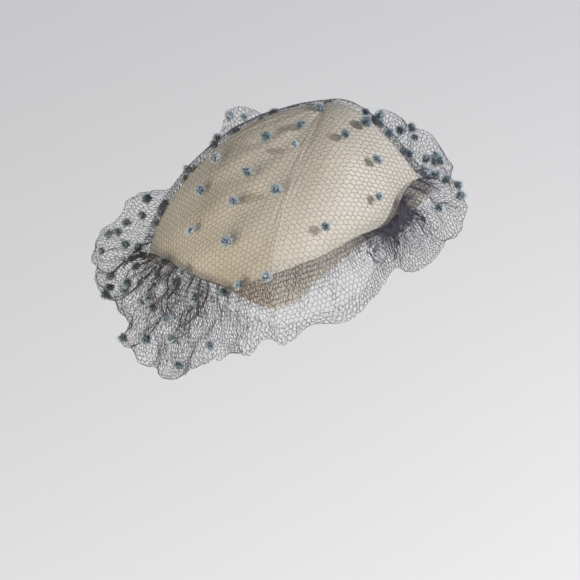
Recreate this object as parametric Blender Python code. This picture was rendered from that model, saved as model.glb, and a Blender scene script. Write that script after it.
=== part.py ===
"""A peaked pillbox hat: four satin gores, a net veil over them and a net ruffle round the rim.

Metres, with +Z up out of the crown, -Y to the front and the origin in the rim's plane, where
a head takes the hat.
"""
import math

import bmesh
import bpy
import numpy as np

# The satin crown: a square seen from above, with its corners right, back, left and front.
CORNER_REACH = 0.092
CROWN_HEIGHT = 0.067
PEAK_RIGHT = 0.0445
PEAK_BACK = 0.018
SATIN_WALL = 0.002
SEAM_GAP = 0.0006
SOFT_TOP = 0.70
SOFT_RIM = 0.26
SOFTNESS_FALL = 2.0
GORE_PUFF = 0.002
PUFF_FULLNESS = 0.8
RIM_ARCH = 0.0105
FOLD_DEPTH = 0.0009
FOLD_PITCH = 0.30
FOLD_SLANT = 0.80
GORE_STEPS_ACROSS = 10
GORE_STEPS_DOWN = 10
PEAK_START = 0.001
PEAK_OPEN = 0.012
RAYS = 45
RAY_STEPS = 80
SEAM_TURN = 0.12
SURFACE_STEP = 0.002

# The net: strands of the coarse lattice that stands for it, and its distance off the satin.
STRAND_WIDTH = 0.0036
STRAND_THICKNESS = 0.0012
NET_TOUCH = 0.0003
NET_STANDOFF = 0.0035
STANDOFF_FROM = 0.35
CELL_PITCH = 0.025
CROWN_NET_END = 0.91
EDGE_MARGIN = 0.15
EDGE_EVENINGS = 6
STRAND_STEPS = 2

# The ruffle: a gathered strip sewn on just above the rim, puffed out and turned back under it.
RUFFLE_SEAT = 0.975
RUFFLE_REACH = 0.046
RUFFLE_LIFT = 0.032
RUFFLE_PUFF = 0.013
RUFFLE_UNDER = 0.0012
RUFFLE_LEAVES = 0.35
PLEAT_DEPTH = 0.0030
PLEATS = 17
CELLS_ROUND = 26
CELLS_ACROSS = 3

# The chenille dots.
DOT_SIZE = 0.0056
DOT_SHOULDER = 0.7
CROWN_DOT_EVERY = 4
RUFFLE_DOT_EVERY = 3
DOTS_FROM = 0.20
DOTS_TO = 0.85

# Each seam runs from the peak to a corner. Its shoulder and flank are the pulls of a curve:
# out as a share of the run in plan, up as a share of the crown's height.
SEAMS = (
    # name, turn in degrees, reach, shoulder out, shoulder up, flank out, flank up
    ("right", 0.0, 1.00, 0.54, 0.98, 0.75, 0.56),
    ("back", 90.0, 1.00, 0.40, 0.92, 0.98, 0.50),
    ("left", 180.0, 1.02, 0.48, 1.24, 0.86, 0.56),
    ("front", 268.5, 0.99, 0.38, 0.98, 1.04, 0.44),
)

# Each gore's puff, as a share of the crown's, and how far its rim is arched up at places
# across it, as shares of the rim's arch.
ARCH_PLACES = (0.0, 0.12, 0.25, 0.50, 0.75, 0.90, 1.0)
GORES = (
    # name, puff, arches
    ("gore_back_right", 0.8, (0.0, 0.20, 0.50, 0.70, 0.50, 0.20, 0.0)),
    ("gore_back_left", 0.0, (0.0, 0.20, 0.50, 0.70, 0.50, 0.20, 0.0)),
    ("gore_front_left", 1.0, (0.0, 0.75, 1.20, 1.35, 0.95, 0.45, 0.30)),
    ("gore_front_right", 1.0, (0.30, -0.10, 0.35, 0.60, 0.35, 0.10, 0.0)),
)
FOLDED_GORE = 2

# The ruffle's outer fold, round the rim: place is 0 at the right corner, 1 back, 2 left, 3 front.
# Reach, lift and puff are shares of the ruffle's reach, lift and puff.
RUFFLE_PLACES = (
    # place, reach, lift, puff
    (0.00, 0.36, -0.35, 1.0),
    (0.10, 0.50, -0.12, 1.0),
    (0.25, 0.60, 0.25, 1.0),
    (0.40, 0.62, 0.75, 1.0),
    (0.63, 0.44, 0.60, 0.8),
    (1.00, 0.38, 0.66, 0.8),
    (1.20, 0.62, 1.16, 0.9),
    (1.47, 0.44, 0.62, 0.8),
    (1.73, 0.70, 0.68, 0.9),
    (2.00, 0.76, 0.28, 1.1),
    (2.25, 0.84, -0.20, 1.2),
    (2.36, 0.92, -0.66, 1.1),
    (2.47, 1.00, -0.92, 1.0),
    (2.71, 0.52, -0.66, 0.8),
    (3.00, 0.28, -0.32, 0.6),
    (3.38, 0.44, -0.58, 0.6),
    (3.54, 0.20, -0.50, 0.4),
    (3.66, 0.30, -0.72, 0.8),
    (3.87, 0.40, -0.66, 0.9),
)

TURNS, REACHES, SHOULDERS_OUT, SHOULDERS_UP, FLANKS_OUT, FLANKS_UP = (
    np.array(column) for column in list(zip(*SEAMS))[1:]
)
PUFFS = np.array([row[1] for row in GORES])
UP = np.array([0.0, 0.0, 1.0])

SATIN_COLOUR = (0.62, 0.54, 0.40, 1.0)
SATIN_ROUGHNESS = 0.5
NET_COLOUR = (0.035, 0.035, 0.06, 1.0)
NET_ROUGHNESS = 0.6


def clear_scene():
    for thing in list(bpy.data.objects):
        bpy.data.objects.remove(thing)


def make_material(name, colour, roughness):
    material = bpy.data.materials.new(name)
    material.use_nodes = True
    shader = material.node_tree.nodes["Principled BSDF"]
    shader.inputs["Base Color"].default_value = colour
    shader.inputs["Roughness"].default_value = roughness
    shader.inputs["Metallic"].default_value = 0.0
    return material


def add_object(name, points, faces, material):
    """A smooth-shaded object made of points and faces."""
    mesh = bpy.data.meshes.new(name)
    mesh.from_pydata([tuple(p) for p in points], [], faces)
    work = bmesh.new()
    work.from_mesh(mesh)
    bmesh.ops.triangulate(work, faces=work.faces[:])
    bmesh.ops.recalc_face_normals(work, faces=work.faces[:])
    work.to_mesh(mesh)
    work.free()
    mesh.shade_smooth()
    mesh.materials.append(material)
    thing = bpy.data.objects.new(name, mesh)
    bpy.context.scene.collection.objects.link(thing)
    return thing


def curve_share(first, second, third, fourth, t):
    """A cubic curve through its ends, pulled towards its two middle values."""
    s = 1.0 - t
    return s**3 * first + 3 * s * s * t * second + 3 * s * t * t * third + t**3 * fourth


def corner(seam):
    """A corner's place in plan, or many corners' places."""
    turn = np.radians(TURNS[seam])
    reach = CORNER_REACH * REACHES[seam]
    return np.stack([reach * np.cos(turn), reach * np.sin(turn)], axis=-1)


def seam_point(seam, t):
    """The seam's line at t, 0 at the peak and 1 at the corner."""
    along = curve_share(0.0, SHOULDERS_OUT[seam], FLANKS_OUT[seam], 1.0, t)
    height = curve_share(1.0, SHOULDERS_UP[seam], FLANKS_UP[seam], 0.0, t) * CROWN_HEIGHT
    peak = np.array([PEAK_RIGHT, PEAK_BACK])
    plan = peak + along[..., None] * (corner(seam) - peak)
    return np.concatenate([plan, height[..., None]], axis=-1)


def unit(vectors):
    return vectors / np.linalg.norm(vectors, axis=-1, keepdims=True)


def crown_point(gore, u, t):
    """The satin's outer face: u runs across a gore, t from the peak down to the rim."""
    gore, u, t = np.broadcast_arrays(gore, np.asarray(u, float), np.asarray(t, float))
    t = np.maximum(t, PEAK_START)
    following = (gore + 1) % len(SEAMS)
    start, end = seam_point(gore, t), seam_point(following, t)
    length = np.linalg.norm(end - start, axis=-1, keepdims=True)
    straight = (end - start) / length
    run_in = unit(end - seam_point((gore - 1) % len(SEAMS), t))
    run_out = unit(seam_point((following + 1) % len(SEAMS), t) - start)
    drop = (t**SOFTNESS_FALL)[..., None]
    soft = SOFT_TOP + (SOFT_RIM - SOFT_TOP) * drop
    first = length * unit(straight + soft * (run_in - straight))
    last = length * unit(straight + soft * (run_out - straight))
    s = u[..., None]
    point = (1 + 2 * s) * (1 - s) ** 2 * start + s * s * (3 - 2 * s) * end
    point = point + s * (1 - s) ** 2 * first - s * s * (1 - s) * last
    side = corner(following) - corner(gore)
    out = unit(np.stack([side[..., 1], -side[..., 0], 0 * u], axis=-1))
    lean = 0.5 * math.pi * t
    push = np.sin(lean)[..., None] * out + np.cos(lean)[..., None] * UP
    across = 4 * u * (1 - u)
    swell = PUFFS[gore] * GORE_PUFF * across**2 * np.sin(math.pi * t) ** PUFF_FULLNESS
    phase = (t + FOLD_SLANT * u) / FOLD_PITCH
    fold = FOLD_DEPTH * across * np.sin(math.pi * t) * np.sin(2 * math.pi * phase)
    swell = swell + np.where(gore == FOLDED_GORE, fold, 0.0)
    arch = np.zeros(u.shape)
    for k, row in enumerate(GORES):
        arch = np.where(gore == k, np.interp(u, ARCH_PLACES, row[2]), arch)
    point = point + swell[..., None] * push
    return point + (arch * RIM_ARCH * t**4)[..., None] * UP


def face_normal(gore, u, t):
    """The outward normal of one gore's face, from small steps on it."""
    low_u, high_u = np.clip(u - SURFACE_STEP, 0, 1), np.clip(u + SURFACE_STEP, 0, 1)
    low_t, high_t = (np.clip(t + d, PEAK_OPEN / 2, 1) for d in (-SURFACE_STEP, SURFACE_STEP))
    across = crown_point(gore, high_u, t) - crown_point(gore, low_u, t)
    down = crown_point(gore, u, high_t) - crown_point(gore, u, low_t)
    return unit(np.cross(down, across))


def crown_normal(gore, u, t):
    """The outward normal, turned half way to the next gore's at a seam."""
    gore, u, t = np.broadcast_arrays(gore, np.asarray(u, float), np.asarray(t, float))
    before = 0.5 * np.clip(1 - u / SEAM_TURN, 0, 1)
    after = 0.5 * np.clip(1 - (1 - u) / SEAM_TURN, 0, 1)
    last = face_normal((gore - 1) % len(GORES), np.ones_like(u), t)
    following = face_normal((gore + 1) % len(GORES), np.zeros_like(u), t)
    normal = (1 - before - after)[..., None] * face_normal(gore, u, t)
    return unit(normal + before[..., None] * last + after[..., None] * following)


def thicken(outer, inner, faces):
    """Points and faces of a closed wall between two faces of one sheet."""
    count = len(outer)
    edges = {}
    for face in faces:
        for start, end in zip(face, face[1:] + face[:1]):
            edges[(start, end)] = edges.get((start, end), 0) + 1
    walls = [
        (end, start, start + count, end + count)
        for start, end in edges
        if (end, start) not in edges
    ]
    back = [tuple(i + count for i in reversed(face)) for face in faces]
    return np.concatenate([outer, inner]), list(faces) + back + walls


def add_gore(gore, material):
    """One satin panel, a gap away from its neighbours along both seams."""
    t = np.linspace(PEAK_OPEN, 1.0, GORE_STEPS_DOWN + 1)[:, None]
    start, end = crown_point(gore, 0.0, t), crown_point(gore, 1.0, t)
    margin = 0.5 * SEAM_GAP / np.linalg.norm(end - start, axis=-1)
    share = np.linspace(0.0, 1.0, GORE_STEPS_ACROSS + 1)[None, :]
    u = margin + share * (1 - 2 * margin)
    outer = crown_point(gore, u, t).reshape(-1, 3)
    normal = crown_normal(gore, share, t).reshape(-1, 3)
    inner = outer - SATIN_WALL * normal
    row = GORE_STEPS_ACROSS + 1
    faces = [
        (i * row + j, (i + 1) * row + j, (i + 1) * row + j + 1, i * row + j + 1)
        for i in range(GORE_STEPS_DOWN)
        for j in range(GORE_STEPS_ACROSS)
    ]
    points, faces = thicken(outer, inner, faces)
    return add_object(GORES[gore][0], points, faces, material)


def side_points(first, second, steps):
    """Points from the first corner to just short of the second."""
    return [first + (second - first) * i / steps for i in range(steps)]


def hexagon(centre, pitch):
    radius = pitch / math.sqrt(3)
    turns = [math.radians(30 + 60 * i) for i in range(6)]
    return [centre + radius * np.array([math.cos(a), math.sin(a)]) for a in turns]


def outer_loop(rings):
    """The names of the corners along the outer edge of many rings, in their order."""
    sides = {side for ring in rings for side in zip(ring, ring[1:] + ring[:1])}
    after = {start: end for start, end in sides if (end, start) not in sides}
    loop = [min(after)]
    while after[loop[-1]] != loop[0]:
        loop.append(after[loop[-1]])
    return loop


def hexagon_net(centres, pitch, settle, period=math.inf):
    """Flat points, junctions with the hole corners round each, and faces of the strands round
    hexagonal holes.

    settle moves the corners to their places. A net with a period closes on itself after it.
    """
    points, faces, found, knots = [], [], {}, {}

    def key(point):
        across = point[0] % period if period < math.inf else point[0]
        return round(0.0 if abs(across - period) < 1e-6 else across, 6), round(point[1], 6)

    def index(point):
        if key(point) not in found:
            found[key(point)] = len(points)
            points.append(point)
        return found[key(point)]

    rings = [hexagon(centre, pitch) for centre in centres]
    rings = settle(rings, [[key(point) for point in ring] for ring in rings])
    for corners in rings:
        middle = sum(corners) / len(corners)
        ring = []
        for first, second in zip(corners, corners[1:] + corners[:1]):
            ring += side_points(first, second, STRAND_STEPS)
        outer = [index(p) for p in ring]
        inner = [index(middle + (p - middle) * (1 - STRAND_WIDTH / CELL_PITCH)) for p in ring]
        for i in range(0, len(ring), STRAND_STEPS):
            knots.setdefault(outer[i], []).append(inner[i])
        for i in range(len(ring)):
            j = (i + 1) % len(ring)
            faces.append((outer[i], outer[j], inner[j], inner[i]))
    return np.array(points), knots, faces


def crown_rays():
    """Lines down the satin from the peak: their turn, gore and place across, and the lengths
    along each."""
    gore = np.repeat(np.arange(len(GORES)), RAYS)
    u = np.tile(np.arange(RAYS) / RAYS, len(GORES))
    foot = (1 - u)[:, None] * corner(gore) + u[:, None] * corner((gore + 1) % len(GORES))
    turn = np.arctan2(foot[:, 1] - PEAK_BACK, foot[:, 0] - PEAK_RIGHT)
    t = np.linspace(0.0, 1.0, RAY_STEPS + 1)
    lines = crown_point(gore[:, None], u[:, None], t[None, :])
    steps = np.linalg.norm(np.diff(lines, axis=1), axis=2)
    lengths = np.concatenate([np.zeros((len(gore), 1)), np.cumsum(steps, axis=1)], axis=1)
    return turn[0], (turn - turn[0]) % (2 * math.pi), gore, u, lengths


def down_crown(flat, rays):
    """Gore, place across, place down and whole length of the satin under each flat point.

    Flat points are measured from the peak.
    """
    first, turns, gores, places, lengths = rays
    turn = (np.arctan2(flat[:, 1], flat[:, 0]) - first) % (2 * math.pi)
    before = np.searchsorted(turns, turn, side="right") - 1
    closed = np.append(turns, 2 * math.pi)
    share = (turn - closed[before]) / (closed[before + 1] - closed[before])
    length = (1 - share)[:, None] * lengths[before]
    length = length + share[:, None] * lengths[(before + 1) % len(turns)]
    reach = np.hypot(flat[:, 0], flat[:, 1])
    step = np.clip((length <= reach[:, None]).sum(axis=1) - 1, 0, RAY_STEPS - 1)
    low = np.take_along_axis(length, step[:, None], 1)[:, 0]
    high = np.take_along_axis(length, step[:, None] + 1, 1)[:, 0]
    t = np.clip((step + (reach - low) / (high - low)) / RAY_STEPS, 0.0, 1.0)
    return gores[before], places[before] + share / RAYS, t, length[:, -1]


def net_standoff(t):
    """How far the net's middle stands off the satin: it touches the peak and lifts lower down."""
    lift = np.minimum(t / STANDOFF_FROM, 1.0)
    return NET_TOUCH + 0.5 * STRAND_THICKNESS + NET_STANDOFF * lift * lift * (3 - 2 * lift)


def crown_centres(rays):
    """Centres of the flat hexagons that lie within the net's edge."""
    row_pitch = CELL_PITCH * math.sqrt(3) / 2
    rows = np.arange(-12, 13)
    row, column = (grid.ravel() for grid in np.meshgrid(rows, rows))
    centres = np.stack([(column + 0.5 * (row % 2)) * CELL_PITCH, row * row_pitch], axis=1)
    length = down_crown(centres, rays)[3]
    reach = np.hypot(centres[:, 0], centres[:, 1])
    return centres[reach + EDGE_MARGIN * CELL_PITCH < CROWN_NET_END * length]


def half_thickness(count, knots, dotted):
    """Half the net's thickness at each of its points, swollen into a dot at some junctions."""
    half = np.full(count, 0.5 * STRAND_THICKNESS)
    for i in dotted:
        half[i] = 0.5 * DOT_SIZE
        half[knots[i]] = DOT_SHOULDER * 0.5 * DOT_SIZE
    return half[:, None]


def settle_crown(rings, names, rays):
    """Corners of the crown's net, with the outermost spread along its one even edge."""
    place = {name: point for ring, row in zip(rings, names) for point, name in zip(ring, row)}
    loop = outer_loop(names)
    edge = np.array([place[name] for name in loop])
    turn = np.unwrap(np.arctan2(edge[:, 1], edge[:, 0]))
    whole = 2 * math.pi * round((turn[-1] - turn[0]) / (2 * math.pi))
    for _ in range(EDGE_EVENINGS):
        before = np.concatenate([turn[-1:] - whole, turn[:-1]])
        after = np.concatenate([turn[1:], turn[:1] + whole])
        turn = 0.25 * before + 0.5 * turn + 0.25 * after
    way = np.stack([np.cos(turn), np.sin(turn)], axis=1)
    edge = way * CROWN_NET_END * down_crown(way, rays)[3][:, None]
    place.update(zip(loop, edge))
    return [[place[name] for name in row] for row in names]


def add_crown_net(material):
    """The taut net over the satin."""
    rays = crown_rays()
    flat, knots, faces = hexagon_net(
        crown_centres(rays), CELL_PITCH, lambda rings, names: settle_crown(rings, names, rays)
    )
    gore, u, t, _ = down_crown(flat, rays)
    point, normal = crown_point(gore, u, t), crown_normal(gore, u, np.maximum(t, PEAK_OPEN))
    low = [i for i in sorted(knots) if t[i] > STANDOFF_FROM]
    half = half_thickness(len(flat), knots, low[::CROWN_DOT_EVERY])
    middle = point + net_standoff(t)[:, None] * normal
    points, faces = thicken(middle + half * normal, middle - half * normal, faces)
    return add_object("veil_crown", points, faces, material)


def smooth_round(places, values, place):
    """A smooth closed curve through one column of the ruffle's table."""
    places = np.concatenate([places[-2:] - len(SEAMS), places, places[:2] + len(SEAMS)])
    values = np.concatenate([values[-2:], values, values[:2]])
    i = np.clip(np.searchsorted(places, place, side="right") - 1, 1, len(places) - 3)
    span = places[i + 1] - places[i]
    slope_in = (values[i + 1] - values[i - 1]) / (places[i + 1] - places[i - 1]) * span
    slope_out = (values[i + 2] - values[i]) / (places[i + 2] - places[i]) * span
    pull_in, pull_out = values[i] + slope_in / 3, values[i + 1] - slope_out / 3
    return curve_share(values[i], pull_in, pull_out, values[i + 1], (place - places[i]) / span)


def ruffle_point(place, v):
    """The middle of the ruffle's net: place runs round the rim, v from its seat out over the
    fold, at one half, and back to its edge under the rim."""
    place = place % len(SEAMS)
    gore = np.minimum(place.astype(int), len(SEAMS) - 1)
    u = place - gore
    table = np.array(RUFFLE_PLACES)
    reach, lift, puff = (
        smooth_round(table[:, 0], table[:, k], place)[:, None] for k in (1, 2, 3)
    )
    half_net = 0.5 * STRAND_THICKNESS
    rim = crown_point(gore, u, 1.0)
    level = rim * np.array([1.0, 1.0, 0.0])
    out = unit(level)
    normal = crown_normal(gore, u, RUFFLE_SEAT)
    seat = crown_point(gore, u, RUFFLE_SEAT) + (NET_TOUCH + half_net) * normal
    edge = rim - 0.5 * SATIN_WALL * out - (RUFFLE_UNDER + half_net) * UP
    fold = level + reach * RUFFLE_REACH * out + lift * RUFFLE_LIFT * UP
    rise = puff * RUFFLE_PUFF * UP
    leave = RUFFLE_LEAVES * reach * RUFFLE_REACH * out
    share = v[:, None]
    over = curve_share(seat, seat + leave, fold + rise, fold, 2 * share)
    under = curve_share(fold, fold - rise, edge + leave - rise, edge, 2 * share - 1)
    wave = (2 * math.pi * PLEATS / len(SEAMS) * place)[:, None]
    ripple = PLEAT_DEPTH * puff * np.sin(math.pi * share) ** 2
    point = np.where(share < 0.5, over, under)
    return point + ripple * (np.cos(wave) * out + np.sin(wave) * UP)


def ruffle_normal(place, v):
    step = 2 * SURFACE_STEP
    round_rim = ruffle_point(place + step, v) - ruffle_point(place - step, v)
    low, high = np.maximum(v - step, 0.0), np.minimum(v + step, 1.0)
    return unit(np.cross(ruffle_point(place, high) - ruffle_point(place, low), round_rim))


def add_ruffle(material):
    """The gathered strip of net round the rim."""
    radius = 1.0 / math.sqrt(3)
    centres = [
        np.array([column + 0.5 * (row % 2), 1.5 * radius * row])
        for row in range(CELLS_ACROSS)
        for column in range(CELLS_ROUND)
    ]
    low, high = -0.5 * radius, (1.5 * CELLS_ACROSS - 1) * radius

    def settle(rings, names):
        limits = (-math.inf, low), (math.inf, high)
        return [[np.clip(point, *limits) for point in ring] for ring in rings]

    flat, knots, faces = hexagon_net(centres, 1.0, settle, CELLS_ROUND)
    place = flat[:, 0] * len(SEAMS) / CELLS_ROUND
    v = (flat[:, 1] - low) / (high - low)
    middle, normal = ruffle_point(place, v), ruffle_normal(place, v)
    free = [i for i in sorted(knots) if DOTS_FROM < v[i] < DOTS_TO]
    half = half_thickness(len(flat), knots, free[::RUFFLE_DOT_EVERY])
    points, faces = thicken(middle + half * normal, middle - half * normal, faces)
    return add_object("veil_ruffle", points, faces, material)


def build():
    clear_scene()
    for gore, row in enumerate(GORES):
        add_gore(gore, make_material(row[0], SATIN_COLOUR, SATIN_ROUGHNESS))
    add_crown_net(make_material("veil_crown", NET_COLOUR, NET_ROUGHNESS))
    add_ruffle(make_material("veil_ruffle", NET_COLOUR, NET_ROUGHNESS))


build()
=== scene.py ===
"""A peaked pillbox hat of cream satin under a dark dotted net veil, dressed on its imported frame.

Metres, with +Z up out of the crown and -Y to the front.
"""
import math

import bmesh
import bpy
import numpy as np
from mathutils import Matrix


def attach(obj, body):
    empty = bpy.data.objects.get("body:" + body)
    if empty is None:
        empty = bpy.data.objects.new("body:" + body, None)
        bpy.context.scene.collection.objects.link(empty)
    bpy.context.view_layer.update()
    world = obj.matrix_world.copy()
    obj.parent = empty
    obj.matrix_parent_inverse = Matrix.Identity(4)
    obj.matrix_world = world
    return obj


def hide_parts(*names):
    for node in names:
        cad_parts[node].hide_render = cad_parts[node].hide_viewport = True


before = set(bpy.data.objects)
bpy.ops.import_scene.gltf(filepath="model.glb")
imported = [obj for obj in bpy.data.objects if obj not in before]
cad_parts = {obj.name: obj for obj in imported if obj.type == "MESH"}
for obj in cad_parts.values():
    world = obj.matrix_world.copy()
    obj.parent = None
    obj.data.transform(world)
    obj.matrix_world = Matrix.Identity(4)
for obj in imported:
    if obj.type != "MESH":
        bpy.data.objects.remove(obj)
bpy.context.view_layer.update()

# The satin crown: four panels of heavy cream satin over a stiff foundation, sewn edge to edge
# from the peak to the corners. The seams are pressed to a low ridge, the cloth puckers softly
# along them, and the rim is turned under.
CORNER_REACH = 0.092
CROWN_HEIGHT = 0.067
PEAK_RIGHT = 0.0445
PEAK_BACK = 0.018
SATIN_WALL = 0.002
SOFT_TOP = 0.70
SOFT_RIM = 0.26
SOFTNESS_FALL = 2.0
GORE_PUFF = 0.002
PUFF_FULLNESS = 0.8
RIM_ARCH = 0.0105
PEAK_START = 0.001
PEAK_OPEN = 0.002
SURFACE_STEP = 0.002
SEAM_TURN = 0.12
SEAM_RIDGE = 0.0002
SEAM_RIDGE_WIDTH = 0.0009
SEAM_GROOVE = 0.00025
SEAM_GROOVE_AT = 0.0022
PUCKER_DEPTH = 0.00016
PUCKER_PITCH = 0.0065
PUCKER_REACH = 0.010
PUCKER_FROM = 0.002
PUCKER_DRIFT = 3
PUCKER_DRIFT_PITCH = 0.03
SLACK_DEPTH = 0.0006
SLACK_PITCH = 0.045
FADE_WIDTH = 0.02
GORE_STEPS = 72
LIP_STEPS = 5
SEAMS = (
    # turn in degrees, reach, shoulder out, shoulder up, flank out, flank up
    (0.0, 1.00, 0.54, 0.98, 0.75, 0.56),
    (90.0, 1.00, 0.40, 0.92, 0.98, 0.50),
    (180.0, 1.02, 0.48, 1.24, 0.86, 0.56),
    (268.5, 0.99, 0.38, 0.98, 1.04, 0.44),
)
ARCH_PLACES = (0.0, 0.12, 0.25, 0.50, 0.75, 0.90, 1.0)
GORES = (
    # name, puff, fold depth, arches of the rim
    ("gore_back_right", 0.8, 0.0003, (0.0, 0.20, 0.50, 0.70, 0.50, 0.20, 0.0)),
    ("gore_back_left", 0.0, 0.0003, (0.0, 0.20, 0.50, 0.70, 0.50, 0.20, 0.0)),
    ("gore_front_left", 1.0, 0.0009, (0.0, 0.75, 1.20, 1.35, 0.95, 0.45, 0.30)),
    ("gore_front_right", 1.0, 0.0002, (0.30, -0.10, 0.35, 0.60, 0.35, 0.10, 0.0)),
)
FOLD_PITCH = 0.30
FOLD_SLANT = 0.80
UP = np.array([0.0, 0.0, 1.0])
TURNS, REACHES, SHOULDERS_OUT, SHOULDERS_UP, FLANKS_OUT, FLANKS_UP = np.array(SEAMS).T
PUFFS, FOLDS = (np.array([row[k] for row in GORES]) for k in (1, 2))


def curve_share(first, second, third, fourth, t):
    s = 1.0 - t
    return s**3 * first + 3 * s * s * t * second + 3 * s * t * t * third + t**3 * fourth


def unit(vectors):
    return vectors / np.linalg.norm(vectors, axis=-1, keepdims=True)


def corner(seam):
    turn = np.radians(TURNS[seam])
    reach = CORNER_REACH * REACHES[seam]
    return np.stack([reach * np.cos(turn), reach * np.sin(turn)], axis=-1)


def seam_point(seam, t):
    along = curve_share(0.0, SHOULDERS_OUT[seam], FLANKS_OUT[seam], 1.0, t)
    height = curve_share(1.0, SHOULDERS_UP[seam], FLANKS_UP[seam], 0.0, t) * CROWN_HEIGHT
    peak = np.array([PEAK_RIGHT, PEAK_BACK])
    plan = peak + along[..., None] * (corner(seam) - peak)
    return np.concatenate([plan, height[..., None]], axis=-1)


def crown_point(gore, u, t):
    """The satin's face: u runs across a gore, t from the peak down to the rim."""
    gore, u, t = np.broadcast_arrays(gore, np.asarray(u, float), np.asarray(t, float))
    t = np.maximum(t, PEAK_START)
    following = (gore + 1) % len(SEAMS)
    start, end = seam_point(gore, t), seam_point(following, t)
    length = np.linalg.norm(end - start, axis=-1, keepdims=True)
    straight = (end - start) / length
    run_in = unit(end - seam_point((gore - 1) % len(SEAMS), t))
    run_out = unit(seam_point((following + 1) % len(SEAMS), t) - start)
    soft = SOFT_TOP + (SOFT_RIM - SOFT_TOP) * (t**SOFTNESS_FALL)[..., None]
    first = length * unit(straight + soft * (run_in - straight))
    last = length * unit(straight + soft * (run_out - straight))
    s = u[..., None]
    point = (1 + 2 * s) * (1 - s) ** 2 * start + s * s * (3 - 2 * s) * end
    point = point + s * (1 - s) ** 2 * first - s * s * (1 - s) * last
    side = corner(following) - corner(gore)
    out = unit(np.stack([side[..., 1], -side[..., 0], 0 * u], axis=-1))
    lean = 0.5 * math.pi * t
    push = np.sin(lean)[..., None] * out + np.cos(lean)[..., None] * UP
    across = 4 * u * (1 - u)
    swell = PUFFS[gore] * GORE_PUFF * across**2 * np.sin(math.pi * t) ** PUFF_FULLNESS
    phase = (t + FOLD_SLANT * u) / FOLD_PITCH
    swell = swell + FOLDS[gore] * across * np.sin(math.pi * t) * np.sin(2 * math.pi * phase)
    arch = np.zeros(u.shape)
    for k, row in enumerate(GORES):
        arch = np.where(gore == k, np.interp(u, ARCH_PLACES, row[3]), arch)
    return point + swell[..., None] * push + (arch * RIM_ARCH * t**4)[..., None] * UP


def face_normal(gore, u, t):
    low_u, high_u = np.clip(u - SURFACE_STEP, 0, 1), np.clip(u + SURFACE_STEP, 0, 1)
    low_t, high_t = (np.clip(t + d, PEAK_OPEN / 2, 1) for d in (-SURFACE_STEP, SURFACE_STEP))
    across = crown_point(gore, high_u, t) - crown_point(gore, low_u, t)
    return unit(np.cross(crown_point(gore, u, high_t) - crown_point(gore, u, low_t), across))


def crown_normal(gore, u, t):
    """The outward normal, turned half way to the next gore's at a seam."""
    gore, u, t = np.broadcast_arrays(gore, np.asarray(u, float), np.asarray(t, float))
    before = 0.5 * np.clip(1 - u / SEAM_TURN, 0, 1)
    after = 0.5 * np.clip(1 - (1 - u) / SEAM_TURN, 0, 1)
    last = face_normal((gore - 1) % len(GORES), np.ones_like(u), t)
    following = face_normal((gore + 1) % len(GORES), np.zeros_like(u), t)
    normal = (1 - before - after)[..., None] * face_normal(gore, u, t)
    return unit(normal + before[..., None] * last + after[..., None] * following)


def soft_waves(points, pitch, seed, count=9):
    """A smooth uneven height, about -1 to 1, that changes over about one pitch."""
    draw = np.random.default_rng(seed)
    ways = unit(draw.normal(size=(count, 3))) * draw.uniform(0.6, 1.4, (count, 1)) / pitch
    phases = draw.uniform(0, 2 * math.pi, count)
    return np.sin(2 * math.pi * points @ ways.T + phases).sum(axis=-1) / math.sqrt(count)


def satin_point(gore, u, t):
    """The satin with its seam ridges, grooves, puckers and slack."""
    point, normal = crown_point(gore, u, t), crown_normal(gore, u, t)
    start, end = crown_point(gore, 0.0, t), crown_point(gore, 1.0, t)
    width = np.linalg.norm(end - start, axis=-1)
    away = np.minimum(u, 1 - u) * width
    ridge = SEAM_RIDGE * np.exp(-((away / SEAM_RIDGE_WIDTH) ** 2))
    groove = SEAM_GROOVE * np.exp(-(((away - SEAM_GROOVE_AT) / SEAM_RIDGE_WIDTH) ** 2))
    down = t * CORNER_REACH
    drift = PUCKER_DRIFT * soft_waves(point, PUCKER_DRIFT_PITCH, 5)
    beat = np.sin(2 * math.pi * down / PUCKER_PITCH + drift)
    pucker = PUCKER_DEPTH * beat * np.exp(-away / PUCKER_REACH) * (away / (away + PUCKER_FROM))
    slack = SLACK_DEPTH * soft_waves(point, SLACK_PITCH, 11) * 4 * u * (1 - u)
    fade = np.clip(width / FADE_WIDTH, 0, 1)
    return point + ((ridge - groove + pucker) * fade + slack)[..., None] * normal, normal


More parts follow.
